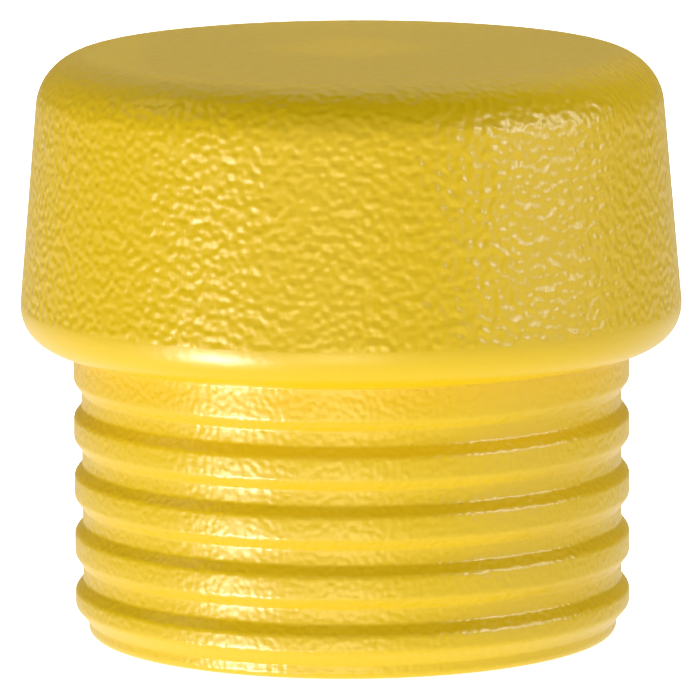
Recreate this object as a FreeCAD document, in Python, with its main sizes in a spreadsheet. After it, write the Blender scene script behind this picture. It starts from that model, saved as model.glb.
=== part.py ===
import FreeCAD, Part
import math
import os

import Sketcher

# Push-in striking face for a soft-face mallet, in millimetres. The real thing is one solid
# polyurethane moulding, so the document holds one body: a head with a gently crowned striking
# face, a rounded rim where the mould parts, and a ribbed spigot that is pressed into the
# mallet's socket. +Z runs along the axis towards the striking face, and z = 0 is the spigot's
# end face.

NODE = "mallet_face"
GROOVE_COUNT = 4  # between the spigot's five ribs

# alias, value, what it is. Angles are in degrees and the rest in millimetres.
DIMENSIONS = [
    ("head_dia", 50.0, "largest diameter, round the rim"),
    ("head_height", 22.5, "shoulder to the top of the crown"),
    ("head_draft", 5.0, "how far the head's side leans in towards the face"),
    ("crown_rise", 0.35, "height of the striking face's crown"),
    ("face_edge_radius", 4.2, "round between the striking face and the side"),
    ("rim_radius", 3.15, "round between the side and the shoulder"),
    ("shoulder_root_radius", 0.3, "fillet between the shoulder and the spigot"),
    ("spigot_length", 22.1, "end face to shoulder"),
    ("rib_dia", 42.1, "over the ribs, a press fit in a 42 mm socket"),
    ("rib_pitch", 4.43, "from one rib to the next"),
    ("rib_edge_radius", 0.65, "round on each rib's edges"),
    ("first_groove", 4.0, "shoulder to the middle of the first groove"),
    ("groove_depth", 0.6, "rib to groove floor"),
    ("groove_floor", 1.15, "width of the groove's floor, corner to corner"),
    ("groove_flank", 37.0, "lean of the groove's flanks from the axis"),
    ("groove_root_radius", 0.4, "fillet between the groove's floor and its flanks"),
    ("last_rib_end", 2.25, "end face to the last rib's lower corner"),
    ("nose_dia", 40.1, "plain end that starts the spigot in its socket"),
    ("nose_height", 1.1, "end face to the foot of the last rib"),
    ("nose_root_radius", 0.3, "fillet at the foot of the last rib"),
    ("nose_edge_radius", 0.65, "round on the end face's rim"),
    ("gate_recess_dia", 9.0, "dish that keeps the gate mark off the socket's floor"),
    ("gate_recess_depth", 0.8, "depth of that dish"),
    ("gate_dia", 3.4, "trimmed gate in the middle of the dish"),
    ("gate_height", 0.45, "height of the trimmed gate above the dish's floor"),
    ("ejector_dia", 5.0, "ejector pin marks"),
    ("ejector_depth", 0.15, "depth of the marks"),
    ("ejector_circle_dia", 27.0, "circle that the marks are centred on"),
    ("ejector_count", 3, "number of marks"),
]

# Places that follow from the dimensions, as expressions for the document.
D = "Dimensions."
RIB_R = f"{D}rib_dia / 2"
NOSE_R = f"{D}nose_dia / 2"
GROOVE_R = f"{D}rib_dia / 2 - {D}groove_depth"
HALF_FLOOR = f"{D}groove_floor / 2"
HALF_MOUTH = f"({D}groove_floor / 2 + {D}groove_depth / tan({D}groove_flank))"
TOTAL_HEIGHT = f"{D}spigot_length + {D}head_height"
FACE_CORNER_Z = f"{TOTAL_HEIGHT} - {D}crown_rise"
# The rim's round reaches head_dia / 2, so the corner that it replaces stands further out.
RIM_CORNER_R = (
    f"{D}head_dia / 2 + {D}rim_radius * (1 / cos({D}head_draft) + tan({D}head_draft) - 1)"
)
FACE_CORNER_R = (
    f"{RIM_CORNER_R} - ({D}head_height - {D}crown_rise) * tan({D}head_draft)"
)

# A sketch's own axes and origin, and the points of a line or arc, by Sketcher's numbers.
X_AXIS, Y_AXIS = -1, -2
ORIGIN = (-1, 1)
START, END, MIDDLE = 1, 2, 3


def addSheet(doc):
    sheet = doc.addObject("Spreadsheet::Sheet", "Dimensions")
    for row, (alias, number, meaning) in enumerate(DIMENSIONS, start=1):
        sheet.set(f"A{row}", alias)
        sheet.set(f"B{row}", str(number))
        sheet.set(f"C{row}", meaning)
        sheet.setAlias(f"B{row}", alias)
    doc.recompute()


def originFeature(body, role):
    return next(f for f in body.Origin.OriginFeatures if f.Role == role)


def addSketch(body, name, plane):
    sketch = body.newObject("Sketcher::SketchObject", name)
    sketch.AttachmentSupport = [(originFeature(body, plane), "")]
    sketch.MapMode = "FlatFace"
    return sketch


def valueOf(body, expression):
    return 0.0 if expression is None else float(body.evalExpression(expression))


def addConstraint(sketch, *parts):
    return sketch.addConstraint(Sketcher.Constraint(*parts))


def addNamed(sketch, name, *parts):
    sketch.renameConstraint(addConstraint(sketch, *parts), name)


def placePoint(sketch, name, point, x, y, at):
    """Fixes a point at x and y from the sketch's origin, now at the numbers in the vector at.
    None means on that axis."""
    if x is None:
        addConstraint(sketch, "PointOnObject", *point, Y_AXIS)
    else:
        addNamed(sketch, f"{name}_x", "DistanceX", *ORIGIN, *point, at.x)
    if y is None:
        addConstraint(sketch, "PointOnObject", *point, X_AXIS)
    else:
        addNamed(sketch, f"{name}_y", "DistanceY", *ORIGIN, *point, at.y)


def crownArc(start, top):
    """The arc from start up to top, which lies on the axis as the arc's centre does."""
    rise = top.y - start.y
    radius = (start.x**2 + rise**2) / (2 * rise)
    centre = FreeCAD.Vector(0, top.y - radius, 0)
    circle = Part.Circle(centre, FreeCAD.Vector(0, 0, 1), radius)
    quarter = math.pi / 2
    return Part.ArcOfCircle(circle, quarter - math.asin(start.x / radius), quarter)


def roundCorner(sketch, name, corner, at, crown, x, y, radius):
    """Replaces the outline's corner by an arc, and keeps the corner as a point that still
    carries its dimensions."""
    arc = sketch.GeometryCount
    if corner == crown:
        side = corner - 1
        # Sketcher drops the corner of a line and an arc, so it is put back by hand.
        onSide = sketch.Geometry[side].value(sketch.Geometry[side].LastParameter * 0.8)
        onCrown = sketch.Geometry[crown].value(sketch.Geometry[crown].FirstParameter)
        onCrown = onCrown + FreeCAD.Vector(-radius, 0, 0)
        sketch.fillet(side, crown, onSide, onCrown, radius, True, False)
        point = sketch.addGeometry(Part.Point(at), True)
        addConstraint(sketch, "PointOnObject", point, START, side)
        addConstraint(sketch, "PointOnObject", point, START, crown)
        placePoint(sketch, name, (point, START), x, y, at)
    else:
        sketch.fillet(corner, START, radius, True, True)
    addNamed(sketch, f"{name}_radius", "Radius", arc, radius)


def addOutline(body, sketch, corners):
    """A closed outline through the corners, each a name, x, y and radius. Its sides are
    straight, apart from the crown, which runs from the last corner but one to the last."""
    points = [
        FreeCAD.Vector(valueOf(body, x), valueOf(body, y), 0)
        for _, x, y, _ in corners
    ]
    crown = len(corners) - 2
    for i, start in enumerate(points):
        end = points[(i + 1) % len(points)]
        side = crownArc(start, end) if i == crown else Part.LineSegment(start, end)
        sketch.addGeometry(side, False)
    for i in range(len(points)):
        addConstraint(sketch, "Coincident", i, END, (i + 1) % len(points), START)
    addConstraint(sketch, "PointOnObject", crown, MIDDLE, Y_AXIS)
    for i, (name, x, y, _) in enumerate(corners):
        placePoint(sketch, name, (i, START), x, y, points[i])
    for i, (name, x, y, radius) in enumerate(corners):
        if radius:
            size = valueOf(body, radius)
            roundCorner(sketch, name, i, points[i], crown, x, y, size)
    for name, x, y, radius in corners:
        for part, expression in (("x", x), ("y", y), ("radius", radius)):
            if expression:
                sketch.setExpression(f"Constraints.{name}_{part}", expression)


def addCircle(body, sketch, diameter, x=None):
    """A circle on the sketch's x axis, x out from the origin."""
    centre = FreeCAD.Vector(valueOf(body, x), 0, 0)
    size = valueOf(body, diameter)
    circle = Part.Circle(centre, FreeCAD.Vector(0, 0, 1), size / 2)
    index = sketch.addGeometry(circle, False)
    if x is None:
        addConstraint(sketch, "Coincident", index, MIDDLE, *ORIGIN)
    else:
        placePoint(sketch, "centre", (index, MIDDLE), x, None, centre)
        sketch.setExpression("Constraints.centre_x", x)
    addNamed(sketch, "diameter", "Diameter", index, size)
    sketch.setExpression("Constraints.diameter", diameter)


def finishFeature(body, feature, grows):
    """Recomputes, and makes sure that the feature added or took away material."""
    before = 0 if body.Shape.isNull() else body.Shape.Volume
    body.Tip = feature
    body.Document.recompute()
    after = body.Shape.Volume
    if (after > before) != grows or after == before:
        raise ValueError(f"{feature.Name} left the volume at {after:.2f} mm3")


def grooveCorners(number):
    """One groove of the spigot, from its lower edge up. Number 0 is next to the shoulder."""
    z = f"{D}spigot_length - {D}first_groove - {number} * {D}rib_pitch"
    edge, root = f"{D}rib_edge_radius", f"{D}groove_root_radius"
    return [
        (f"groove{number}LowerEdge", RIB_R, f"{z} - {HALF_MOUTH}", edge),
        (f"groove{number}LowerRoot", GROOVE_R, f"{z} - {HALF_FLOOR}", root),
        (f"groove{number}UpperRoot", GROOVE_R, f"{z} + {HALF_FLOOR}", root),
        (f"groove{number}UpperEdge", RIB_R, f"{z} + {HALF_MOUTH}", edge),
    ]


def addTurnedShape(body):
    """Spigot and head, turned round the axis from one outline that starts at the end face."""
    shoulder = f"{D}spigot_length"
    corners = [
        ("endCentre", None, None, None),
        ("noseEdge", NOSE_R, None, f"{D}nose_edge_radius"),
        ("noseRoot", NOSE_R, f"{D}nose_height", f"{D}nose_root_radius"),
        ("lastRibEnd", RIB_R, f"{D}last_rib_end", f"{D}rib_edge_radius"),
    ]
    for number in reversed(range(GROOVE_COUNT)):
        corners += grooveCorners(number)
    corners += [
        ("shoulderRoot", RIB_R, shoulder, f"{D}shoulder_root_radius"),
        ("rim", RIM_CORNER_R, shoulder, f"{D}rim_radius"),
        ("faceEdge", FACE_CORNER_R, FACE_CORNER_Z, f"{D}face_edge_radius"),
        ("faceCentre", None, TOTAL_HEIGHT, None),
    ]
    outline = addSketch(body, "TurnedOutline", "XZ_Plane")
    addOutline(body, outline, corners)
    turned = body.newObject("PartDesign::Revolution", "TurnedShape")
    turned.Profile = outline
    turned.ReferenceAxis = (outline, ["V_Axis"])
    turned.Angle = 360.0
    finishFeature(body, turned, grows=True)


def addGateMark(body):
    """A shallow dish in the end face, with the trimmed gate in its middle."""
    dishOutline = addSketch(body, "GateDishOutline", "XY_Plane")
    addCircle(body, dishOutline, f"{D}gate_recess_dia")
    dish = body.newObject("PartDesign::Pocket", "GateDish")
    dish.Profile = dishOutline
    dish.Reversed = True
    dish.setExpression("Length", f"{D}gate_recess_depth")
    finishFeature(body, dish, grows=False)
    gateOutline = addSketch(body, "GateOutline", "XY_Plane")
    gateOutline.setExpression(".AttachmentOffset.Base.z", f"{D}gate_recess_depth")
    addCircle(body, gateOutline, f"{D}gate_dia")
    gate = body.newObject("PartDesign::Pad", "Gate")
    gate.Profile = gateOutline
    gate.Reversed = True
    gate.setExpression("Length", f"{D}gate_height")
    finishFeature(body, gate, grows=True)


def addEjectorMarks(body):
    """Shallow round marks that the ejector pins leave in the end face."""
    outline = addSketch(body, "EjectorMarkOutline", "XY_Plane")
    addCircle(body, outline, f"{D}ejector_dia", f"{D}ejector_circle_dia / 2")
    mark = body.newObject("PartDesign::Pocket", "EjectorMark")
    mark.Profile = outline
    mark.Reversed = True
    mark.setExpression("Length", f"{D}ejector_depth")
    finishFeature(body, mark, grows=False)
    marks = body.newObject("PartDesign::PolarPattern", "EjectorMarks")
    marks.Originals = [mark]
    marks.Axis = (originFeature(body, "Z_Axis"), [""])
    marks.Angle = 360.0
    marks.setExpression("Occurrences", f"{D}ejector_count")
    finishFeature(body, marks, grows=False)


def checkDocument(doc, body):
    """Stops on any failed object or bad solid, because a recompute doesn't raise for them."""
    for item in doc.Objects:
        if "Invalid" in item.State or "Error" in item.State:
            raise ValueError(f"{item.Name} failed: {item.State}")
    for sketch in doc.findObjects("Sketcher::SketchObject"):
        if sketch.solve() != 0 or not sketch.FullyConstrained:
            raise ValueError(f"{sketch.Name} isn't fully constrained")
    if body.Shape.isNull() or not body.Shape.isValid():
        raise ValueError(f"{body.Label} has no valid shape")
    if len(body.Shape.Solids) != 1:
        raise ValueError(f"{body.Label} isn't one solid")


def main():
    doc = FreeCAD.newDocument("StrikingFace")
    addSheet(doc)
    body = doc.addObject("PartDesign::Body", "MalletFace")
    body.Label = NODE
    addTurnedShape(body)
    addGateMark(body)
    addEjectorMarks(body)
    doc.recompute()
    checkDocument(doc, body)
    os.makedirs("parts", exist_ok=True)
    body.Shape.exportStep(f"parts/{body.Label}.step")
    box = body.Shape.optimalBoundingBox(False, False)
    print(
        f"{body.Label}: {box.XLength:.3f} x {box.YLength:.3f} x {box.ZLength:.3f} mm, "
        f"volume {body.Shape.Volume:.1f} mm3, {len(body.Shape.Faces)} faces"
    )


main()
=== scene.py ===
import math

import bmesh
import bpy
from mathutils import Matrix, Quaternion, Vector


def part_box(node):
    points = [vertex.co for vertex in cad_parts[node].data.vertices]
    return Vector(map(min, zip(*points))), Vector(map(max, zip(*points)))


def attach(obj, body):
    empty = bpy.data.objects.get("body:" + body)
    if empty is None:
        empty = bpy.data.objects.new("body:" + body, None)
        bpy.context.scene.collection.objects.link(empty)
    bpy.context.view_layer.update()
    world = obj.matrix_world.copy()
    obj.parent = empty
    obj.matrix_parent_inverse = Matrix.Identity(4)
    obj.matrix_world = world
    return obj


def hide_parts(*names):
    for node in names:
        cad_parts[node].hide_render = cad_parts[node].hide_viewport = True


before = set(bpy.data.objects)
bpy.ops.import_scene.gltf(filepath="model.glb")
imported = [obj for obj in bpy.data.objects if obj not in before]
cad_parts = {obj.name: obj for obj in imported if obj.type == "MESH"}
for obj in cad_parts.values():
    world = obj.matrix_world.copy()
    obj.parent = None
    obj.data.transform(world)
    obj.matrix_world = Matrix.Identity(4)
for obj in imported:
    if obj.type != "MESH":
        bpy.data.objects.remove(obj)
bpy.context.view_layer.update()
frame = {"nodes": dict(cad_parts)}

mm = 0.001
nodeName = "mallet_face"
print("frame loaded:", ", ".join(frame["nodes"]))


def linearColour(hexCode):
    # sRGB to linear, with an alpha of 1.
    channels = [int(hexCode[i : i + 2], 16) / 255 for i in (1, 3, 5)]
    linear = [c / 12.92 if c <= 0.04045 else ((c + 0.055) / 1.055) ** 2.4 for c in channels]
    return (*linear, 1.0)


def addNode(tree, kind, settings=None, inputs=None):
    # An input is a number, a colour or another node's socket.
    node = tree.nodes.new(kind)
    for name, value in (settings or {}).items():
        setattr(node, name, value)
    for name, value in (inputs or {}).items():
        if isinstance(value, bpy.types.NodeSocket):
            tree.links.new(value, node.inputs[name])
        else:
            node.inputs[name].default_value = value
    return node


lowCorner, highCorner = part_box(nodeName)
topZ = highCorner.z / mm
rimRadius = (highCorner.x - lowCorner.x) / 2 / mm

# Sizes in millimetres.
faceShape = {
    "crownRise": 0.35,
    "faceEdgeRound": 4.2,
    "faceEdgeSegments": 18,
    "sideDraft": 5.0,  # degrees
    "rimRound": 3.15,
    "rimSegments": 20,
    "shoulderZ": 22.1,
    "shoulderRound": 0.3,
    "ribRadius": 21.05,
    "ribEdgeRound": 0.65,
    "ribEdgeSegments": 5,
    "firstGroove": 4.0,  # below the shoulder
    "ribPitch": 4.43,
    "grooveCount": 4,
    "grooveDepth": 0.6,
    "grooveFloor": 1.15,
    "grooveFlank": 37.0,  # degrees from the axis
    "grooveRound": 0.4,
    "lastRibEnd": 2.25,
    "noseRadius": 20.05,
    "noseHeight": 1.1,
    "noseRootRound": 0.3,
    "noseEdgeRound": 0.65,
    "noseEdgeSegments": 7,
    "dishRadius": 4.5,
    "dishDepth": 0.8,
    "gateRadius": 1.7,
    "gateHeight": 0.45,
    "gateRound": 0.12,
    "gateSegments": 3,
    "smallSegments": 4,
    "pinMarkRadius": 2.5,
    "pinMarkDepth": 0.15,
    "pinCircleRadius": 13.5,
    "pinMarks": 3,
    "pinMarkSides": 48,
    "turnSteps": 360,
    "headGrid": 0.5,
    "spigotGrid": 1.0,
    "gridMargin": 0.1,
    "mergeDistance": 0.0005,
    "sharpAngle": 35.0,  # degrees
}


def outlineCorners(s):
    # Radius, height, round and its segments, from the crown down to the gate.
    draft = math.radians(s["sideDraft"])
    rimCorner = rimRadius + s["rimRound"] * (1 / math.cos(draft) + math.tan(draft) - 1)
    faceEdgeZ = topZ - s["crownRise"]
    faceEdge = rimCorner - (faceEdgeZ - s["shoulderZ"]) * math.tan(draft)
    corners = [
        (0, topZ, 0, 0),
        (faceEdge, faceEdgeZ, s["faceEdgeRound"], s["faceEdgeSegments"]),
        (rimCorner, s["shoulderZ"], s["rimRound"], s["rimSegments"]),
        (s["ribRadius"], s["shoulderZ"], s["shoulderRound"], s["smallSegments"]),
    ]
    halfFloor = s["grooveFloor"] / 2
    halfMouth = halfFloor + s["grooveDepth"] / math.tan(math.radians(s["grooveFlank"]))
    floorRadius = s["ribRadius"] - s["grooveDepth"]
    for number in range(s["grooveCount"]):
        z = s["shoulderZ"] - s["firstGroove"] - number * s["ribPitch"]
        corners += [
            (s["ribRadius"], z + halfMouth, s["ribEdgeRound"], s["ribEdgeSegments"]),
            (floorRadius, z + halfFloor, s["grooveRound"], s["smallSegments"]),
            (floorRadius, z - halfFloor, s["grooveRound"], s["smallSegments"]),
            (s["ribRadius"], z - halfMouth, s["ribEdgeRound"], s["ribEdgeSegments"]),
        ]
    dishFloor = s["dishDepth"]
    corners += [
        (s["ribRadius"], s["lastRibEnd"], s["ribEdgeRound"], s["ribEdgeSegments"]),
        (s["noseRadius"], s["noseHeight"], s["noseRootRound"], s["smallSegments"]),
        (s["noseRadius"], 0, s["noseEdgeRound"], s["noseEdgeSegments"]),
        (s["dishRadius"], 0, s["gateRound"], s["gateSegments"]),
        (s["dishRadius"], dishFloor, s["gateRound"], s["gateSegments"]),
        (s["gateRadius"], dishFloor, s["gateRound"], s["gateSegments"]),
        (s["gateRadius"], dishFloor - s["gateHeight"], s["gateRound"], s["gateSegments"]),
        (0, dishFloor - s["gateHeight"], 0, 0),
    ]
    return corners


def drawOutline(bm, corners):
    verts = [bm.verts.new((r, 0, z)) for r, z, rounding, segments in corners]
    for start, end in zip(verts, verts[1:]):
        bm.edges.new((start, end))
    places = [vert.co.copy() for vert in verts]
    for i, (r, z, rounding, segments) in enumerate(corners):
        if rounding:
            turn = (places[i] - places[i - 1]).angle(places[i + 1] - places[i])
            bmesh.ops.bevel(
                bm,
                geom=[verts[i]],
                offset=rounding * math.tan(turn / 2),
                offset_type="OFFSET",
                segments=segments,
                profile=0.5,
                affect="VERTICES",
                material=-1,
            )


def divideLongEdges(bm, longest, lowest, highest):
    for edge in list(bm.edges):
        middle = (edge.verts[0].co.z + edge.verts[1].co.z) / 2
        cuts = math.ceil(edge.calc_length() / longest) - 1
        if cuts > 0 and lowest < middle < highest:
            bmesh.ops.subdivide_edges(bm, edges=[edge], cuts=cuts)


def domeCrown(bm, s):
    # The flat cone that the outline starts with becomes a gentle dome.
    top = [v for v in bm.verts if v.co.z > topZ - s["crownRise"]]
    outer = max(top, key=lambda v: v.co.x)
    drop = (topZ - outer.co.z) / outer.co.x**2
    for vert in top:
        vert.co.z = topZ - drop * vert.co.x**2


def pinMarkCutter(s):
    bm = bmesh.new()
    for number in range(s["pinMarks"]):
        turn = Matrix.Rotation(math.tau * number / s["pinMarks"], 4, "Z")
        place = turn @ Matrix.Translation((s["pinCircleRadius"], 0, 0))
        bmesh.ops.create_cone(
            bm,
            cap_ends=True,
            segments=s["pinMarkSides"],
            radius1=s["pinMarkRadius"],
            radius2=s["pinMarkRadius"],
            depth=2 * s["pinMarkDepth"],
            matrix=place,
        )
    bmesh.ops.scale(bm, vec=(mm, mm, mm), verts=bm.verts)
    mesh = bpy.data.meshes.new("pinMarks")
    bm.to_mesh(mesh)
    bm.free()
    return bpy.data.objects.new("pinMarks", mesh)


def applyModifiers(piece):
    bpy.context.view_layer.update()
    shaped = piece.evaluated_get(bpy.context.evaluated_depsgraph_get())
    mesh = bpy.data.meshes.new_from_object(shaped)
    piece.modifiers.clear()
    piece.data = mesh


def buildFace(s):
    bm = bmesh.new()
    drawOutline(bm, outlineCorners(s))
    gridChange = s["shoulderZ"] + s["gridMargin"]
    divideLongEdges(bm, s["headGrid"], gridChange, topZ)
    divideLongEdges(bm, s["spigotGrid"], -1, gridChange)
    domeCrown(bm, s)
    bmesh.ops.spin(
        bm,
        geom=bm.verts[:] + bm.edges[:],
        cent=(0, 0, 0),
        axis=(0, 0, 1),
        angle=math.tau,
        steps=s["turnSteps"],
        use_merge=True,
    )
    bmesh.ops.remove_doubles(bm, verts=bm.verts, dist=s["mergeDistance"])
    bmesh.ops.recalc_face_normals(bm, faces=bm.faces)
    bmesh.ops.scale(bm, vec=(mm, mm, mm), verts=bm.verts)
    mesh = bpy.data.meshes.new("strikingFace")
    bm.to_mesh(mesh)
    bm.free()
    piece = bpy.data.objects.new("strikingFace", mesh)
    bpy.context.scene.collection.objects.link(piece)
    cutter = pinMarkCutter(s)
    bpy.context.scene.collection.objects.link(cutter)
    cut = piece.modifiers.new("pinMarks", "BOOLEAN")
    cut.operation = "DIFFERENCE"
    cut.solver = "EXACT"
    cut.object = cutter
    applyModifiers(piece)
    bpy.data.objects.remove(cutter)
    piece.data.shade_smooth()
    piece.data.set_sharp_from_angle(angle=math.radians(s["sharpAngle"]))
    return piece


face = buildFace(faceShape)
print("striking face:", len(face.data.polygons), "faces")


partingZ = 25.3 * mm  # where the two halves of the mould met

# Solid-coloured polyurethane from an eroded mould: a pebbled skin that breaks
# every highlight into glints. Between fadeStart and fadeEnd its grain fades to
# the share fadedGrain. Such a grain is 0.4 to 0.6 mm wide.
grainedFinish = {
    "colour": "#EDC505",
    "grainWidth": 0.62 * mm,
    "grainHeight": 0.15 * mm,
    "roughness": 0.3,
    "gloss": 0.5,
    "fadeStart": 43.9 * mm,
    "fadeEnd": 44.35 * mm,
    "fadedGrain": 0.7,
}

# The same plastic from the smoother half: broad soft highlights and a faint
# grain, which fades out towards the rim.
polishedFinish = {
    "colour": "#EDC505",
    "grainWidth": 0.48 * mm,
    "grainHeight": 0.065 * mm,
    "roughness": 0.31,
    "gloss": 0.5,
    "fadeStart": 21.9 * mm,
    "fadeEnd": 22.6 * mm,
    "fadedGrain": 0.25,
}


def mouldedPolyurethane(name, s):
    material = bpy.data.materials.new(name)
    material.use_nodes = True
    tree = material.node_tree
    tree.nodes.clear()
    place = addNode(tree, "ShaderNodeTexCoord").outputs["Object"]
    grain = addNode(
        tree,
        "ShaderNodeTexNoise",
        {},
        {"Vector": place, "Scale": 1 / s["grainWidth"], "Detail": 0.0},
    ).outputs["Fac"]
    relief = addNode(
        tree, "ShaderNodeMath", {"operation": "MULTIPLY"}, {0: grain, 1: s["grainHeight"]}
    ).outputs[0]
    height = addNode(tree, "ShaderNodeSeparateXYZ", {}, {0: place}).outputs["Z"]
    share = addNode(
        tree,
        "ShaderNodeMapRange",
        {"interpolation_type": "SMOOTHSTEP"},
        {
            "Value": height,
            "From Min": s["fadeStart"],
            "From Max": s["fadeEnd"],
            "To Min": 1.0,
            "To Max": s["fadedGrain"],
        },
    ).outputs["Result"]
    normal = addNode(
        tree, "ShaderNodeBump", {}, {"Height": relief, "Strength": share, "Distance": 1.0}
    ).outputs["Normal"]
    shader = addNode(
        tree,
        "ShaderNodeBsdfPrincipled",
        {},
        {
            "Base Color": linearColour(s["colour"]),
            "Roughness": s["roughness"],
            "Specular IOR Level": s["gloss"],
            "Normal": normal,
            "IOR": 1.5,
        },
    )
    addNode(tree, "ShaderNodeOutputMaterial", {}, {"Surface": shader.outputs["BSDF"]})
    return material


face.data.materials.clear()
face.data.materials.append(mouldedPolyurethane("grainedPolyurethane", grainedFinish))
face.data.materials.append(mouldedPolyurethane("polishedPolyurethane", polishedFinish))
for polygon in face.data.polygons:
    polygon.material_index = 0 if polygon.center.z > partingZ else 1
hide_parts(nodeName)
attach(face, "root")
print("material: moulded polyurethane")


floorLook = {
    "radius": 4.0,
    "segments": 96,
    "z": -0.05 * mm,
    "colour": "#F4F4F2",
    "roughness": 0.9,
    "glow": 0.95,
}


def buildFloor(s):
    bm = bmesh.new()
    bmesh.ops.create_circle(bm, cap_ends=True, segments=s["segments"], radius=s["radius"])
    bmesh.ops.translate(bm, vec=(0, 0, s["z"]), verts=bm.verts)
    mesh = bpy.data.meshes.new("floor")
    bm.to_mesh(mesh)
    bm.free()
    floor = bpy.data.objects.new("floor", mesh)
    bpy.context.scene.collection.objects.link(floor)
    material = bpy.data.materials.new("paleTable")
    material.use_nodes = True
    tree = material.node_tree
    tree.nodes.clear()
    shader = addNode(
        tree,
        "ShaderNodeBsdfPrincipled",
        {},
        {
            "Base Color": linearColour(s["colour"]),
            "Roughness": s["roughness"],
            "Specular IOR Level": 0.0,
            "Emission Color": (1, 1, 1, 1),
            "Emission Strength": s["glow"],
        },
    )
    addNode(tree, "ShaderNodeOutputMaterial", {}, {"Surface": shader.outputs["BSDF"]})
    mesh.materials.append(material)
    # Only the camera sees the floor, so the low lamps shine up through it.
    floor.visible_shadow = False
    floor.visible_diffuse = False
    floor.visible_glossy = False


buildFloor(floorLook)

studio = {
    "fromBelow": 0.85,
    "belowFullAt": -0.25,  # the sine of the elevation
    "around": 0.14,
    "fromAbove": 0.0,
}


def buildWorld(s):
    # A pale surround that is brightest below and dim above.
    world = bpy.data.worlds.new("studio")
    bpy.context.scene.world = world
    world.use_nodes = True
    tree = world.node_tree
    tree.nodes.clear()
    direction = addNode(tree, "ShaderNodeTexCoord").outputs["Generated"]
    upward = addNode(tree, "ShaderNodeSeparateXYZ", {}, {0: direction}).outputs["Z"]
    below = addNode(
        tree,
        "ShaderNodeMapRange",
        {},
        {
            "Value": upward,
            "From Min": s["belowFullAt"],
            "From Max": 0.0,
            "To Min": s["fromBelow"],
            "To Max": 0.0,
        },
    ).outputs["Result"]
    above = addNode(
        tree,
        "ShaderNodeMapRange",
        {},
        {"Value": upward, "To Min": s["around"], "To Max": s["fromAbove"]},
    ).outputs["Result"]
    strength = addNode(
        tree, "ShaderNodeMath", {"operation": "ADD"}, {0: below, 1: above}
    ).outputs[0]
    sky = addNode(tree, "ShaderNodeBackground", {}, {"Color": (1, 1, 1, 1), "Strength": strength})
    addNode(tree, "ShaderNodeOutputWorld", {}, {"Surface": sky.outputs[0]})


buildWorld(studio)

# Azimuth 0 is the camera's side and grows towards +X. Angles are in degrees, and
# spread is how wide a lamp looks from the piece.
lampDistance = 1.0
lamps = {
    "keyLow": {"azimuth": -51, "elevation": -30, "spread": 20, "brightness": 15.5},
    "leftHigh": {"azimuth": -90, "elevation": 40, "spread": 24, "brightness": 1.0},
}
# Compact lamps that are only seen as glints on the grain and the rim.
sparkLamps = {
    "sparkLow": {"azimuth": -51, "elevation": -33, "spread": 15, "brightness": 28},
    "sparkLeft": {"azimuth": -52, "elevation": -15, "spread": 20, "brightness": 8},
    "sparkFront": {"azimuth": -4, "elevation": -22, "spread": 26, "brightness": 3.8},
    "sparkRight": {"azimuth": 62, "elevation": 18, "spread": 16, "brightness": 15},
    "sparkEdge": {"azimuth": 88, "elevation": 14, "spread": 16, "brightness": 9},
}
# Broad lamps that light the piece without a reflection of their own.
softLamps = {
    "right": {"azimuth": 68, "elevation": 12, "spread": 44, "brightness": 2.0},
    "topBack": {"azimuth": 180, "elevation": 40, "spread": 60, "brightness": 4.7},
    "front": {"azimuth": -10, "elevation": 25, "spread": 50, "brightness": 0.9},
}


def addLamp(name, s):
    azimuth, elevation = math.radians(s["azimuth"]), math.radians(s["elevation"])
    flat = math.cos(elevation)
    away = Vector((math.sin(azimuth) * flat, -math.cos(azimuth) * flat, math.sin(elevation)))
    radius = lampDistance * math.tan(math.radians(s["spread"] / 2))
    light = bpy.data.lights.new(name, "AREA")
    light.shape = "DISK"
    light.size = 2 * radius
    light.energy = s["brightness"] * (math.pi * radius) ** 2
    lamp = bpy.data.objects.new(name, light)
    lamp.location = Vector((0, 0, topZ / 2 * mm)) + away * lampDistance
    lamp.rotation_mode = "QUATERNION"
    lamp.rotation_quaternion = away.to_track_quat("Z", "Y")
    lamp.visible_camera = False
    bpy.context.scene.collection.objects.link(lamp)
    return lamp


for name, lamp in lamps.items():
    addLamp(name, lamp)
for name, lamp in sparkLamps.items():
    addLamp(name, lamp).visible_diffuse = False
for name, lamp in softLamps.items():
    addLamp(name, lamp).visible_glossy = False

view = {
    "distance": 627 * mm,
    "elevation": 9.03,  # degrees
    "roll": 0.3,  # degrees
    "lens": 425.9,
    "sensor": 36.0,
    "clipNear": 0.01,
    "clipFar": 20.0,
    "aim": (-0.1 * mm, 0, 21.5 * mm),
}


def addCamera(s):
    data = bpy.data.cameras.new("camera")
    data.lens = s["lens"]
    data.sensor_width = s["sensor"]
    data.clip_start, data.clip_end = s["clipNear"], s["clipFar"]
    camera = bpy.data.objects.new("camera", data)
    elevation = math.radians(s["elevation"])
    back = Vector((0, -math.cos(elevation), math.sin(elevation)))
    camera.location = Vector(s["aim"]) + back * s["distance"]
    camera.rotation_mode = "QUATERNION"
    roll = Quaternion(back, math.radians(-s["roll"]))
    camera.rotation_quaternion = roll @ back.to_track_quat("Z", "Y")
    bpy.context.scene.collection.objects.link(camera)
    bpy.context.scene.camera = camera


addCamera(view)
bpy.context.scene.view_settings.view_transform = "Standard"
print("stage, lights and camera ready")
